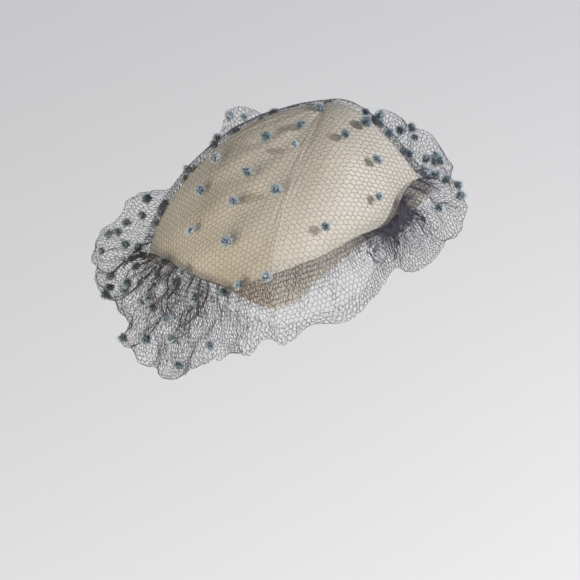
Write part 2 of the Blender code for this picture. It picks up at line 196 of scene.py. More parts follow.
def gore_mesh(gore):
    """One panel as a closed wall whose rim is rolled over."""
    t = np.linspace(PEAK_OPEN, 1.0, GORE_STEPS + 1)[:, None]
    u = np.linspace(0.0, 1.0, GORE_STEPS + 1)[None, :]
    outer, normal = satin_point(gore, u, t)
    inner = outer - SATIN_WALL * normal
    rim, inside = outer[-1], inner[-1]
    down = unit(np.cross(normal[-1], unit(np.gradient(rim, axis=0))))
    down = np.where(down[:, 2:] > 0, -down, down)
    turns = np.linspace(0, math.pi, LIP_STEPS + 2)[1:-1]
    lip = [
        0.5 * (rim + inside) + 0.5 * SATIN_WALL * (math.cos(a) * normal[-1] + math.sin(a) * down)
        for a in turns
    ]
    rows = np.concatenate([outer, np.array(lip), inner[::-1]])
    count, row = len(rows), GORE_STEPS + 1
    edge = row - 1
    faces = [
        (i * row + j, (i + 1) * row + j, (i + 1) * row + j + 1, i * row + j + 1)
        for i in range(count - 1)
        for j in range(row - 1)
    ]
    for i in range(GORE_STEPS):
        k = count - 1 - i
        faces.append((i * row, k * row, (k - 1) * row, (i + 1) * row))
        faces.append(
            (i * row + edge, (i + 1) * row + edge, (k - 1) * row + edge, k * row + edge)
        )
    ring = range(GORE_STEPS, count - GORE_STEPS)
    faces.append(tuple(i * row for i in ring)[::-1])
    faces.append(tuple(i * row + edge for i in ring))
    last = (count - 1) * row
    for j in range(row - 1):
        faces.append((j, j + 1, last + j + 1, last + j))
    return rows.reshape(-1, 3), faces


def plain_mesh(name, points, faces):
    mesh = bpy.data.meshes.new(name)
    mesh.from_pydata([tuple(p) for p in points], [], faces)
    mesh.validate()
    mesh.shade_smooth()
    piece = bpy.data.objects.new(name, mesh)
    bpy.context.scene.collection.objects.link(piece)
    return piece


def new_material(name, colour, roughness):
    """A material, its node tree and its shader."""
    material = bpy.data.materials.new(name)
    material.use_nodes = True
    tree = material.node_tree
    shader = tree.nodes["Principled BSDF"]
    shader.inputs["Base Color"].default_value = (*colour, 1.0)
    shader.inputs["Roughness"].default_value = roughness
    return material, tree, shader


def add_node(tree, kind, links=(), **values):
    """A node with its settings and inputs set, and its inputs linked from other sockets."""
    node = tree.nodes.new(kind)
    for name, value in values.items():
        if hasattr(node, name):
            setattr(node, name, value)
        else:
            node.inputs[name.replace("_", " ")].default_value = value
    for name, socket in dict(links).items():
        tree.links.new(socket, node.inputs[name])
    return node


SATIN_LIGHT = (0.66, 0.61, 0.52)
SATIN_DEEP = (0.60, 0.54, 0.44)
SATIN_ROUGHNESS = 0.55
AGE_SCALE = 28.0
WEAVE_SCALES = (260.0, 1500.0, 1500.0)
WEAVE_HEIGHT = 0.0003
SLUB_SCALE = 160.0
SLUB_HEIGHT = 0.002
SATIN_BUMP = 0.12
satin, tree, shader = new_material("cream_satin", SATIN_LIGHT, SATIN_ROUGHNESS)
place = add_node(tree, "ShaderNodeTexCoord").outputs["Object"]
age = add_node(tree, "ShaderNodeTexNoise", {"Vector": place}, Scale=AGE_SCALE, Detail=4.0)
ramp = add_node(tree, "ShaderNodeValToRGB", {"Fac": age.outputs["Fac"]})
ramp.color_ramp.elements[0].position = 0.30
ramp.color_ramp.elements[0].color = (*SATIN_DEEP, 1.0)
ramp.color_ramp.elements[1].position = 0.62
ramp.color_ramp.elements[1].color = (*SATIN_LIGHT, 1.0)
tree.links.new(ramp.outputs["Color"], shader.inputs["Base Color"])
stretch = add_node(tree, "ShaderNodeMapping", {"Vector": place}, Scale=WEAVE_SCALES)
weave = add_node(
    tree, "ShaderNodeTexNoise", {"Vector": stretch.outputs["Vector"]}, Scale=1.0, Detail=3.0,
)
slub = add_node(tree, "ShaderNodeTexNoise", {"Vector": place}, Scale=SLUB_SCALE, Detail=2.0)
fine = add_node(
    tree, "ShaderNodeBump", {"Height": weave.outputs["Fac"]},
    Strength=SATIN_BUMP, Distance=WEAVE_HEIGHT,
)
soft = add_node(
    tree, "ShaderNodeBump", {"Height": slub.outputs["Fac"], "Normal": fine.outputs["Normal"]},
    Strength=SATIN_BUMP, Distance=SLUB_HEIGHT,
)
tree.links.new(soft.outputs["Normal"], shader.inputs["Normal"])
shader.inputs["Sheen Weight"].default_value = 0.25
shader.inputs["Sheen Roughness"].default_value = 0.35
shader.inputs["Specular IOR Level"].default_value = 0.35

MEASURE_LINES = 40
for gore, row in enumerate(GORES):
    name = row[0]
    points, faces = gore_mesh(gore)
    panel = plain_mesh("satin_" + name, points, faces)
    panel.data.materials.append(satin)
    t = np.linspace(PEAK_OPEN, 1.0, MEASURE_LINES)
    lines = crown_point(gore, np.linspace(0, 1, MEASURE_LINES)[None, :], t[:, None])
    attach(panel, "root")
    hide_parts(name)

# The veil's net: fine dark thread knotted into hexagons, cut as one wide piece and stretched over
# the crown from the peak, a few millimetres off the satin. Its rows run along the hat.
NET_PITCH = 0.0035
ROW_APART = 0.00255
THREAD = 0.00023
NET_SIDES = 3
NET_TOUCH = 0.0003
NET_STANDOFF = 0.0046
STANDOFF_FROM = 0.35
BACK_CLOSER = 0.0026
CROWN_NET_END = 0.985
CORNER_JITTER = 0.065
THREAD_JITTER = 0.06
KNOT_THICK = 1.10
THREAD_THICK = 0.90
LINK_THICK = 0.66
RAYS = 60
RAY_STEPS = 100
NET_TURN = 0.48
NET_CUT = 0.34
NORMAL_FROM = 0.01
OFF_CROWN = 2.0


def crown_rays():
    """Lines down the satin from the peak, each with its place round the net laid out flat.

    The net lies without a pleat from the back seam round by the left, front and right.
    """
    gore = np.roll(np.repeat(np.arange(len(GORES)), RAYS), -RAYS)
    gore, u = np.append(gore, 0), np.append(np.tile(np.arange(RAYS) / RAYS, len(GORES)), 1.0)
    lines = crown_point(gore[:, None], u[:, None], np.linspace(0.0, 1.0, RAY_STEPS + 1)[None, :])
    steps = np.diff(lines, axis=1)
    lengths = np.cumsum(np.linalg.norm(steps, axis=2), axis=1)
    apart = np.cross(np.diff(lines, axis=0)[:, 1:], unit(steps[:-1]))
    apart = np.linalg.norm(apart, axis=2)
    turns = (apart * lengths[:-1]).sum(axis=1) / (lengths[:-1] ** 2).sum(axis=1)
    turns = np.concatenate([[0.0], np.cumsum(turns)])
    front = turns[2 * RAYS]
    lengths = np.concatenate([np.zeros((len(gore), 1)), lengths], axis=1)
    return -0.5 * math.pi - front, turns, gore, u, lengths


def down_crown(flat, rays):
    """Gore, place across and place down of the satin under each flat point from the peak."""
    first, turns, gores, places, lengths = rays
    turn = (np.arctan2(flat[:, 1], flat[:, 0]) - first) % (2 * math.pi)
    before = np.clip(np.searchsorted(turns, turn, side="right") - 1, 0, len(turns) - 2)
    share = np.clip((turn - turns[before]) / (turns[before + 1] - turns[before]), 0, 1)
    length = (1 - share)[:, None] * lengths[before] + share[:, None] * lengths[before + 1]
    reach = np.hypot(flat[:, 0], flat[:, 1])
    step = np.clip((length <= reach[:, None]).sum(axis=1) - 1, 0, RAY_STEPS - 1)
    low = np.take_along_axis(length, step[:, None], 1)[:, 0]
    high = np.take_along_axis(length, step[:, None] + 1, 1)[:, 0]
    t = (step + (reach - low) / (high - low)) / RAY_STEPS
    return gores[before], places[before] + share / RAYS, np.where(turn < turns[-1], t, OFF_CROWN)


def net_standoff(place, t):
    """How far the net stands off the satin, at a place round the rim and a share down to it."""
    lift = np.minimum(t / STANDOFF_FROM, 1.0)
    behind = np.sqrt(np.clip(np.sin(0.5 * math.pi * place), 0, 1))
    standoff = NET_STANDOFF - BACK_CLOSER * behind
    return NET_TOUCH + 0.5 * THREAD + standoff * lift * lift * (3 - 2 * lift)


def hexagons(columns, rows, pitch, apart, closed=False):
    """Flat corners, threads and thread weights of a net of half-pitch columns and zigzag rows."""
    j, k = np.meshgrid(np.arange(columns), np.arange(rows))
    high = (j + k) % 2 == 0
    points = np.stack([0.5 * pitch * j, apart * (k + high / 3)], axis=-1)
    index = k * columns + j
    along = np.stack([index, np.roll(index, -1, axis=1)], axis=-1)
    if not closed:
        along = along[:, :-1]
    links = np.stack([index[:-1], index[1:]], axis=-1)[high[:-1]]
    along = along.reshape(-1, 2)
    weights = np.repeat([THREAD_THICK, LINK_THICK], [len(along), len(links)])
    return points.reshape(-1, 2), np.concatenate([along, links]), weights


def slacken(points, threads, weights, seed):
    """Uneven corners, a middle point on each thread, and how thick the net is at each point."""
    draw = np.random.default_rng(seed)
    points = points + draw.normal(0, CORNER_JITTER * NET_PITCH, points.shape)
    middle = 0.5 * (points[threads[:, 0]] + points[threads[:, 1]])
    middle = middle + draw.normal(0, THREAD_JITTER * NET_PITCH, middle.shape)
    count = len(points)
    halves = np.arange(len(threads)) + count
    edges = np.concatenate(
        [np.stack([threads[:, 0], halves], 1), np.stack([halves, threads[:, 1]], 1)]
    )
    thickness = np.concatenate([np.full(count, KNOT_THICK), weights])
    return np.concatenate([points, middle]), edges, thickness


def keep_points(kept, edges):
    """New numbers for the kept points, and the edges between them."""
    number = np.cumsum(kept) - 1
    edges = edges[kept[edges].all(axis=1)]
    return number[edges]


def geometry_tree(name, sizes):
    """A Geometry Nodes tree with named inputs and one geometry in and out."""
    tree = bpy.data.node_groups.new(name, "GeometryNodeTree")
    tree.interface.new_socket("Geometry", in_out="INPUT", socket_type="NodeSocketGeometry")
    for label, kind, value in sizes:
        socket = tree.interface.new_socket(label, in_out="INPUT", socket_type=kind)
        if value is not None:
            socket.default_value = value
    tree.interface.new_socket("Geometry", in_out="OUTPUT", socket_type="NodeSocketGeometry")
    return tree, tree.nodes.new("NodeGroupInput"), tree.nodes.new("NodeGroupOutput")


def grow(name, points, edges, tree, values, attributes=()):
    """The tree's result on a mesh of points and edges, as one plain mesh."""
    mesh = bpy.data.meshes.new(name + "_source")
    mesh.from_pydata([tuple(p) for p in points], [tuple(int(i) for i in e) for e in edges], [])
    for label, kind, numbers in attributes:
        layer = mesh.attributes.new(label, kind, "POINT")
        field = "vector" if kind == "FLOAT_VECTOR" else "value"
        layer.data.foreach_set(field, np.asarray(numbers, np.float32).ravel())
    source = bpy.data.objects.new(name + "_source", mesh)
    bpy.context.scene.collection.objects.link(source)
    modifier = source.modifiers.new("grow", "NODES")
    modifier.node_group = tree
    for item in tree.interface.items_tree:
        if item.in_out == "INPUT" and item.name in values:
            modifier[item.identifier] = values[item.name]
    grown = source.evaluated_get(bpy.context.evaluated_depsgraph_get())
    result = bpy.data.meshes.new_from_object(grown)
    result.name = name
    source.modifiers.clear()
    piece = bpy.data.objects.new(name, result)
    bpy.context.scene.collection.objects.link(piece)
    bpy.data.objects.remove(source)
    bpy.data.meshes.remove(mesh)
    return piece


net_tree, inputs, outputs = geometry_tree(
    "net_threads",
    (("Thread", "NodeSocketFloat", THREAD), ("Sides", "NodeSocketInt", NET_SIDES),
     ("Finish", "NodeSocketMaterial", None)),
)
curves = add_node(net_tree, "GeometryNodeMeshToCurve", {"Mesh": inputs.outputs["Geometry"]})
thick = add_node(net_tree, "GeometryNodeInputNamedAttribute", data_type="FLOAT", Name="thickness")
half = add_node(net_tree, "ShaderNodeMath", {0: inputs.outputs["Thread"]}, operation="MULTIPLY")
half.inputs[1].default_value = 0.5
section = add_node(
    net_tree, "GeometryNodeCurvePrimitiveCircle",
    {"Resolution": inputs.outputs["Sides"], "Radius": half.outputs[0]},
)
tubes = add_node(
    net_tree, "GeometryNodeCurveToMesh",
    {"Curve": curves.outputs["Curve"], "Profile Curve": section.outputs["Curve"],
     "Scale": thick.outputs["Attribute"]},
    Fill_Caps=True,
)
smooth = add_node(net_tree, "GeometryNodeSetShadeSmooth", {"Geometry": tubes.outputs["Mesh"]})
real = add_node(net_tree, "GeometryNodeRealizeInstances", {"Geometry": smooth.outputs["Geometry"]})
finish = add_node(
    net_tree, "GeometryNodeSetMaterial",
    {"Geometry": real.outputs["Geometry"], "Material": inputs.outputs["Finish"]},
)
net_tree.links.new(finish.outputs["Geometry"], outputs.inputs["Geometry"])

THREAD_DARK = (0.022, 0.020, 0.034)
THREAD_WORN = (0.070, 0.060, 0.085)
THREAD_ROUGHNESS = 0.55
WEAR_SCALE = 220.0
TWIST_SCALE = 4200.0
TWIST_HEIGHT = 0.0001
net_thread, tree, shader = new_material("net_thread", THREAD_DARK, THREAD_ROUGHNESS)
place = add_node(tree, "ShaderNodeTexCoord").outputs["Object"]
wear = add_node(tree, "ShaderNodeTexNoise", {"Vector": place}, Scale=WEAR_SCALE, Detail=3.0)
ramp = add_node(tree, "ShaderNodeValToRGB", {"Fac": wear.outputs["Fac"]})
ramp.color_ramp.elements[0].position = 0.35
ramp.color_ramp.elements[0].color = (*THREAD_DARK, 1.0)
ramp.color_ramp.elements[1].position = 0.75
ramp.color_ramp.elements[1].color = (*THREAD_WORN, 1.0)
tree.links.new(ramp.outputs["Color"], shader.inputs["Base Color"])
twist = add_node(tree, "ShaderNodeTexNoise", {"Vector": place}, Scale=TWIST_SCALE, Detail=2.0)
ply = add_node(
    tree, "ShaderNodeBump", {"Height": twist.outputs["Fac"]}, Strength=0.4, Distance=TWIST_HEIGHT,
)
tree.links.new(ply.outputs["Normal"], shader.inputs["Normal"])
shader.inputs["Sheen Weight"].default_value = 0.15


def weave_net(name, points, edges, thickness):
    """A net piece, and the flat area that its threads cover."""
    piece = grow(
        name, points, edges, net_tree,
        {"Thread": THREAD, "Sides": NET_SIDES, "Finish": net_thread},
        [("thickness", "FLOAT", thickness)],
    )
    length = np.linalg.norm(points[edges[:, 0]] - points[edges[:, 1]], axis=1).sum()
    return piece, float(length * THREAD * 0.5 * NET_SIDES * math.sin(math.pi / NET_SIDES))


columns, rows = 2 * int(NET_CUT / NET_PITCH), int(NET_CUT / ROW_APART)
flat, threads, weights = hexagons(columns, rows, NET_PITCH, ROW_APART)
flat = flat - flat.mean(axis=0)
cos, sin = math.cos(NET_TURN), math.sin(NET_TURN)
flat = flat @ np.array([[cos, sin], [-sin, cos]])
flat, edges, thickness = slacken(flat, threads, weights, 3)
gore, u, t = down_crown(flat, crown_rays())
kept = t < CROWN_NET_END
edges = keep_points(kept, edges)
gore, u, t = gore[kept], u[kept], t[kept]
lift = net_standoff(gore + u, t)[:, None]
normal = crown_normal(gore, u, np.maximum(t, NORMAL_FROM))
points = crown_point(gore, u, t) + lift * normal
crown_net, covered = weave_net("veil_crown_net", points, edges, thickness[kept])
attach(crown_net, "root")
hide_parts("veil_crown")

# The ruffle: a gathered strip of the same net, tacked just above the rim, puffed out into a
# soft fold that hangs below the rim in front, and turned back under where it is doubled.
RUFFLE_REACH = 0.046
RUFFLE_LIFT = 0.032
RUFFLE_PUFF = 0.013
RUFFLE_UNDER = 0.0012
RUFFLE_LEAVES = 0.35
OVER_RIM = 0.995
LOW_SEAT = 0.975
SEAT_RISE = 0.1
RIM_PULL = 0.8
PLEAT_DEPTH = 0.0030
PLEATS = 17
GATHER_DEPTH = 0.0010
GATHER_LEAST = 0.3
GATHER_FADES_TO = 0.25
GATHER_FOLD = 0.18
GATHER_REACH = 0.18
GATHER_DRIFT = 1.5
GATHER_DRIFT_PITCH = 0.5
GATHERS = 64
SEWN_DOWN = 0.02
EDGE_ROW = 0.015
ROW_MARGIN = 1.3
RUFFLE_UNEVEN = 0.10
BUNCH_UNEVEN = 0.13
BUNCH_RAGGED = 0.35
RAGGED_PITCH = 0.16
BUNCH_FRAY = 0.7
RUFFLE_THICK = 1.18
CRUMPLE_FROM = 0.15
CRUMPLE_PITCH = 0.022
FINE_CRUMPLE = 0.3
FINE_CRUMPLE_PITCH = 0.009
SIDE_CRUMPLE = 0.32
SIDE_CRUMPLE_PITCH = 0.024
RUFFLE_PITCH = 0.0040
RUFFLE_ROWS = 0.0028
LEAST_FULLNESS = 1.02
FULLNESS = 1.2
CRUMPLE = 0.0026
CALM = 0.35
BUNCH_CRUMPLE = 0.0026
RUFFLE_PLACES = (
    # place, reach, lift, puff, turned under
    (0.00, 0.36, -0.35, 1.0, 0.9),
    (0.10, 0.50, -0.12, 1.0, 0.9),
    (0.25, 0.60, 0.25, 1.0, 0.9),
    (0.40, 0.62, 0.75, 1.0, 0.9),
    (0.63, 0.44, 0.60, 0.8, 0.8),
    (1.00, 0.38, 0.66, 0.8, 0.8),
    (1.20, 0.62, 1.16, 0.9, 0.6),
    (1.47, 0.44, 0.62, 0.8, 0.6),
    (1.73, 0.70, 0.68, 0.9, 0.9),
    (2.00, 0.76, 0.28, 1.1, 1.0),
    (2.25, 0.84, -0.20, 1.2, 1.0),
    (2.36, 0.92, -0.66, 1.1, 1.0),
    (2.47, 1.00, -0.92, 1.0, 1.0),
    (2.71, 0.52, -0.66, 0.8, 0.8),
    (3.00, 0.28, -0.32, 0.6, 0.7),
    (3.38, 0.44, -0.58, 0.6, 0.5),
    (3.54, 0.20, -0.50, 0.4, 0.6),
    (3.66, 0.30, -0.66, 0.8, 1.0),
    (3.87, 0.40, -0.60, 0.9, 1.0),
)
RUFFLE_SEATS = (
    # place, how far down the crown it is sewn on, gathered
    (0.05, 0.93, 0.5),
    (0.20, 0.96, 0.4),
    (0.50, 0.97, 0.3),
    (1.00, 0.97, 0.2),
    (1.50, 0.97, 0.2),
    (1.80, 0.96, 0.5),
    (2.10, 0.93, 0.8),
    (2.35, 0.90, 1.0),
    (2.60, 0.895, 1.0),
    (2.80, 0.885, 0.6),
    (3.00, 0.79, 0.2),
    (3.14, 0.79, 0.2),
    (3.31, 0.84, 0.2),
    (3.45, 0.87, 0.4),
    (3.56, 0.90, 0.9),
    (3.66, 0.92, 1.0),
    (3.74, 0.91, 0.9),
    (3.79, 0.87, 0.6),
    (3.87, 0.85, 0.5),
    (3.95, 0.87, 0.5),
)
TACK_LEAST = 0.02
TACKS = (
    # place, share of the way out, size, how hard it is drawn in
    (2.30, 0.02, 0.010, 0.3),
    (2.47, 0.03, 0.012, 0.35),
    (2.62, 0.03, 0.012, 0.3),
    (3.60, 0.14, 0.014, 0.25),
    (3.67, 0.17, 0.016, 0.30),
    (3.79, 0.01, 0.010, 0.5),
    (0.15, 0.03, 0.012, 0.6),
    (1.95, 0.08, 0.012, 0.5),
)
BUNCHES = (
    # place, how far out the bunched net inside the gathers reaches, its fullness
    (0.00, 0.16, 4.5),
    (0.20, 0.20, 4.0),
    (0.45, 0.05, 2.0),
    (1.20, 0.00, 1.5),
    (1.70, 0.08, 2.0),
    (1.95, 0.22, 3.0),
    (2.20, 0.32, 3.6),
    (2.45, 0.40, 4.2),
    (2.70, 0.38, 4.0),
    (2.90, 0.40, 2.8),
    (3.15, 0.38, 2.4),
    (3.42, 0.26, 2.6),
    (3.51, 0.36, 7.0),
    (3.60, 0.56, 17.0),
    (3.67, 0.60, 20.0),
    (3.75, 0.54, 16.0),
    (3.86, 0.32, 7.0),
)


def round_rim(table, column, place):
    """A smooth closed curve round the rim through one column of a table."""
    table = np.array(table)
    places, values = table[:, 0], table[:, column]
    places = np.concatenate([places[-2:] - len(SEAMS), places, places[:2] + len(SEAMS)])
    values = np.concatenate([values[-2:], values, values[:2]])
    place = place % len(SEAMS)
    i = np.clip(np.searchsorted(places, place, side="right") - 1, 1, len(places) - 3)
    span = places[i + 1] - places[i]
    slope_in = (values[i + 1] - values[i - 1]) / (places[i + 1] - places[i - 1]) * span
    slope_out = (values[i + 2] - values[i]) / (places[i + 2] - places[i]) * span
    pull_in, pull_out = values[i] + slope_in / 3, values[i + 1] - slope_out / 3
    return curve_share(values[i], pull_in, pull_out, values[i + 1], (place - places[i]) / span)


def ruffle_point(place, v):
    """The ruffle's smooth form: v from its seat out over the fold, at one half, and under."""
    place = place % len(SEAMS)
    gore = np.minimum(place.astype(int), len(SEAMS) - 1)
    u = place - gore
    reach, lift, puff = (round_rim(RUFFLE_PLACES, k, place)[:, None] for k in (1, 2, 3))
    seat_at = round_rim(RUFFLE_SEATS, 1, place)
    rim = crown_point(gore, u, 1.0)
    level = rim * np.array([1.0, 1.0, 0.0])
    out = unit(level)
    normal = crown_normal(gore, u, seat_at)
    seat = crown_point(gore, u, seat_at) + net_standoff(place, seat_at)[:, None] * normal
    edge = rim - 0.5 * SATIN_WALL * out - RUFFLE_UNDER * UP
    fold = level + reach * RUFFLE_REACH * out + lift * RUFFLE_LIFT * UP
    over_rim = rim + (NET_STANDOFF + NET_TOUCH) * crown_normal(gore, u, OVER_RIM)
    rise = puff * RUFFLE_PUFF * UP
    leave = RUFFLE_LEAVES * reach * RUFFLE_REACH * out
    share = v[:, None]
    early = np.clip((LOW_SEAT - seat_at) / SEAT_RISE, 0, 1)[:, None]
    first_pull = seat + leave + early * RIM_PULL * (over_rim - seat)
    over = curve_share(seat, first_pull, fold + rise, fold, 2 * share)
    under = curve_share(fold, fold - rise, edge + leave - rise, edge, 2 * share - 1)
    wave = (2 * math.pi * PLEATS / len(SEAMS) * place)[:, None]
    ripple = PLEAT_DEPTH * puff * np.sin(math.pi * share) ** 2
    point = np.where(share < 0.5, over, under)
    return point + ripple * (np.cos(wave) * out + np.sin(wave) * UP)


def ruffle_normal(place, v):
    step = 2 * SURFACE_STEP
    along = ruffle_point(place + step, v) - ruffle_point(place - step, v)
    low, high = np.maximum(v - step, 0.0), np.minimum(v + step, 1.0)
    return unit(np.cross(ruffle_point(place, high) - ruffle_point(place, low), along))


def crumpled(place, v, crumple=CRUMPLE, seed=31):
    """The ruffle's net with its gathers, crumples and tacks."""
    gathered = round_rim(RUFFLE_SEATS, 2, place)
    near_seat = np.exp(-v / GATHER_REACH)
    turn = 2 * math.pi * GATHERS / len(SEAMS)
    flat = np.stack([np.cos(0.5 * math.pi * place), np.sin(0.5 * math.pi * place), v], axis=-1)
    phase = turn * place + GATHER_DRIFT * soft_waves(flat, GATHER_DRIFT_PITCH, seed + 20)
    lift = np.clip(v / SEWN_DOWN, 0, 1)
    folded = GATHER_FOLD * gathered * near_seat * lift
    place = place + folded * np.sin(phase) / turn
    point, normal = ruffle_point(place, v), ruffle_normal(place, v)
    depth = GATHER_DEPTH * (GATHER_LEAST + gathered) * (near_seat + GATHER_FADES_TO)
    depth = depth * np.cos(phase) * lift
    free = np.clip(v / CRUMPLE_FROM, 0, 1)
    rough = soft_waves(point, CRUMPLE_PITCH, seed)
    rough = rough + FINE_CRUMPLE * soft_waves(point, FINE_CRUMPLE_PITCH, seed + 2)
    side = [soft_waves(point, SIDE_CRUMPLE_PITCH, seed + 9 + k) for k in range(3)]
    side = np.stack(side, axis=-1)
    loose = crumple * free * (CALM + (1 - CALM) * np.clip(gathered, 0, 1))
    point = point + (depth + loose * rough)[:, None] * normal
    point = point + SIDE_CRUMPLE * loose[:, None] * side
    for tack_place, tack_v, size, draw_in in TACKS:
        centre = ruffle_point(np.array([tack_place]), np.array([tack_v]))
        away = point - centre
        near = np.clip(np.linalg.norm(away, axis=1, keepdims=True) / size, TACK_LEAST, 1)
        point = centre + away * near**draw_in
    return point


PLACE_STEPS = 800
V_STEPS = 100
places = np.linspace(0, len(SEAMS), PLACE_STEPS + 1)
shares = np.linspace(0, 1, V_STEPS + 1)
grid = ruffle_point(np.repeat(places, V_STEPS + 1), np.tile(shares, PLACE_STEPS + 1))
grid = grid.reshape(PLACE_STEPS + 1, V_STEPS + 1, 3)
fold_steps = np.linalg.norm(np.diff(grid[:, V_STEPS // 3], axis=0), axis=1)
down_steps = np.linalg.norm(np.diff(grid, axis=1), axis=2)
down_length = np.cumsum(np.pad(down_steps, ((0, 0), (1, 0))), axis=1)
gathers = round_rim(RUFFLE_SEATS, 2, places[:-1])


def lay_ruffle(name, full, ends, crumple, uneven, fray, seed):
    """A strip of net laid round the rim, so full along it, out to a share of the way.

    fray is the share of its depth over which loose threads thin it out.
    """
    round_length = np.concatenate([[0.0], np.cumsum(fold_steps * full)])
    cells_round = int(round_length[-1] / RUFFLE_PITCH)
    pitch = round_length[-1] / cells_round
    rows = int((down_length[:, -1] * np.clip(ROW_MARGIN * ends, 0, 1)).max() / RUFFLE_ROWS)
    flat, edges, _ = hexagons(2 * cells_round, rows + 1, pitch, RUFFLE_ROWS, closed=True)
    draw = np.random.default_rng(seed)
    flat = flat + draw.normal(0, uneven * RUFFLE_PITCH, flat.shape)
    flat[:, 1] = np.maximum(flat[:, 1], 0.0)
    place = np.interp(flat[:, 0] % round_length[-1], round_length, places)
    at = np.clip((place / len(SEAMS) * PLACE_STEPS).astype(int), 0, PLACE_STEPS)
    lengths = down_length[at]
    step = np.clip((lengths <= flat[:, 1:2]).sum(axis=1) - 1, 0, V_STEPS - 1)
    low = np.take_along_axis(lengths, step[:, None], 1)[:, 0]
    high = np.take_along_axis(lengths, step[:, None] + 1, 1)[:, 0]
    v = (step + (flat[:, 1] - low) / (high - low)) / V_STEPS
    end = ends[at] * (1 - fray * draw.random(len(v)))
    kept = v < end + EDGE_ROW * (fray == 0)
    v = np.minimum(v, end)
    edges = keep_points(kept, edges)
    points = crumpled(place[kept], np.minimum(v[kept], 1.0), crumple, seed)
    net, covered = weave_net(name, points, edges, np.full(len(points), RUFFLE_THICK))
    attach(net, "root")
    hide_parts("veil_ruffle")


turned = 0.5 + 0.5 * round_rim(RUFFLE_PLACES, 4, places)
fullness = LEAST_FULLNESS + FULLNESS * gathers
lay_ruffle("veil_ruffle_net", fullness, turned, CRUMPLE, RUFFLE_UNEVEN, 0.0, 31)
ring = np.stack([np.cos(0.5 * math.pi * places), np.sin(0.5 * math.pi * places), 0 * places], -1)
ragged = 1 + BUNCH_RAGGED * soft_waves(ring, RAGGED_PITCH, 43)
bunched = np.clip(round_rim(BUNCHES, 1, places) * ragged, 0, 1)
fullness = round_rim(BUNCHES, 2, places[:-1])
lay_ruffle("veil_ruffle_bunches", fullness, bunched, BUNCH_CRUMPLE, BUNCH_UNEVEN, BUNCH_FRAY, 57)

# The chenille dots: short tufts of blue-grey chenille fixed to the net, each a soft ball of
# fibres whose darker core is painted shade among the fibres. Some are darker and greener than the
# rest.
DOT_SIZE = 0.0070
DOT_SIZE_SHARES = (0.70, 1.15)
DOT_PROUD = 0.0012
CORE_REACH = (0.45, 0.75)
FIBRES_FROM_EACH = 5
FIBRE_SPREAD = 0.35
FIBRE_ROOT = 0.22
FIBRE_HALF_WIDTH = 0.05
FIBRE_REACH = (0.42, 0.68)
TIP_SPREAD = 0.05
TIP_FROM = 0.2
TIP_RANGE = 0.45
CROWN_DOTS = (
    # gore, across, down
    (2, 0.75, 0.03), (2, 0.75, 0.15), (2, 0.53, 0.25), (2, 0.91, 0.25), (2, 0.26, 0.41),
    (2, 0.65, 0.40), (3, 0.59, 0.34), (2, 0.34, 0.53), (2, 0.66, 0.51), (2, 0.94, 0.44),
    (2, 0.46, 0.68), (2, 0.74, 0.67), (3, 0.75, 0.59), (3, 0.66, 0.76), (3, 0.31, 0.70),
    (2, 0.86, 0.85), (2, 0.995, 0.79), (3, 0.86, 0.37),
    (0, 0.35, 0.52), (0, 0.72, 0.48), (0, 0.20, 0.68), (0, 0.50, 0.70), (0, 0.80, 0.76),
    (1, 0.20, 0.45), (1, 0.50, 0.50), (1, 0.80, 0.62), (1, 0.28, 0.66), (1, 0.60, 0.72),
    (1, 0.88, 0.82), (1, 0.40, 0.85), (0, 0.38, 0.88),
)
RUFFLE_DOTS = (
    # place round the rim, share of the way from the seat over and under
    (0.50, 0.34), (0.52, 0.30), (0.49, 0.27), (0.34, 0.41), (0.30, 0.29), (0.32, 0.14),
    (0.29, 0.15), (0.22, 0.21), (0.21, 0.32), (0.19, 0.29), (0.18, 0.34), (0.14, 0.16),
    (0.07, 0.18), (0.04, 0.27), (0.02, 0.36), (3.99, 0.39), (0.06, 0.03), (3.91, 0.29),
    (1.24, 0.37), (1.18, 0.31), (1.11, 0.32), (1.06, 0.39), (1.32, 0.41), (1.34, 0.37),
    (1.53, 0.33), (1.57, 0.22), (1.71, 0.16), (1.78, 0.11), (1.70, 0.28), (1.77, 0.23),
    (1.82, 0.30), (1.88, 0.27), (1.90, 0.31), (1.94, 0.18), (1.94, 0.08), (1.99, 0.31),
    (2.14, 0.13), (2.21, 0.15), (2.15, 0.31), (2.33, 0.10), (2.32, 0.02), (2.51, 0.02),
    (2.47, 0.09), (2.26, 0.25), (2.25, 0.31), (2.15, 0.56), (2.35, 0.24), (2.40, 0.20),
    (2.42, 0.23), (2.50, 0.23), (2.61, 0.14), (2.76, 0.06), (2.35, 0.43), (2.44, 0.35),
    (2.53, 0.31), (2.67, 0.42), (2.57, 0.44), (0.65, 0.20), (0.72, 0.45), (0.80, 0.30),
    (0.92, 0.20), (0.45, 0.60), (0.85, 0.55), (1.45, 0.55), (1.62, 0.62), (2.05, 0.62),
)


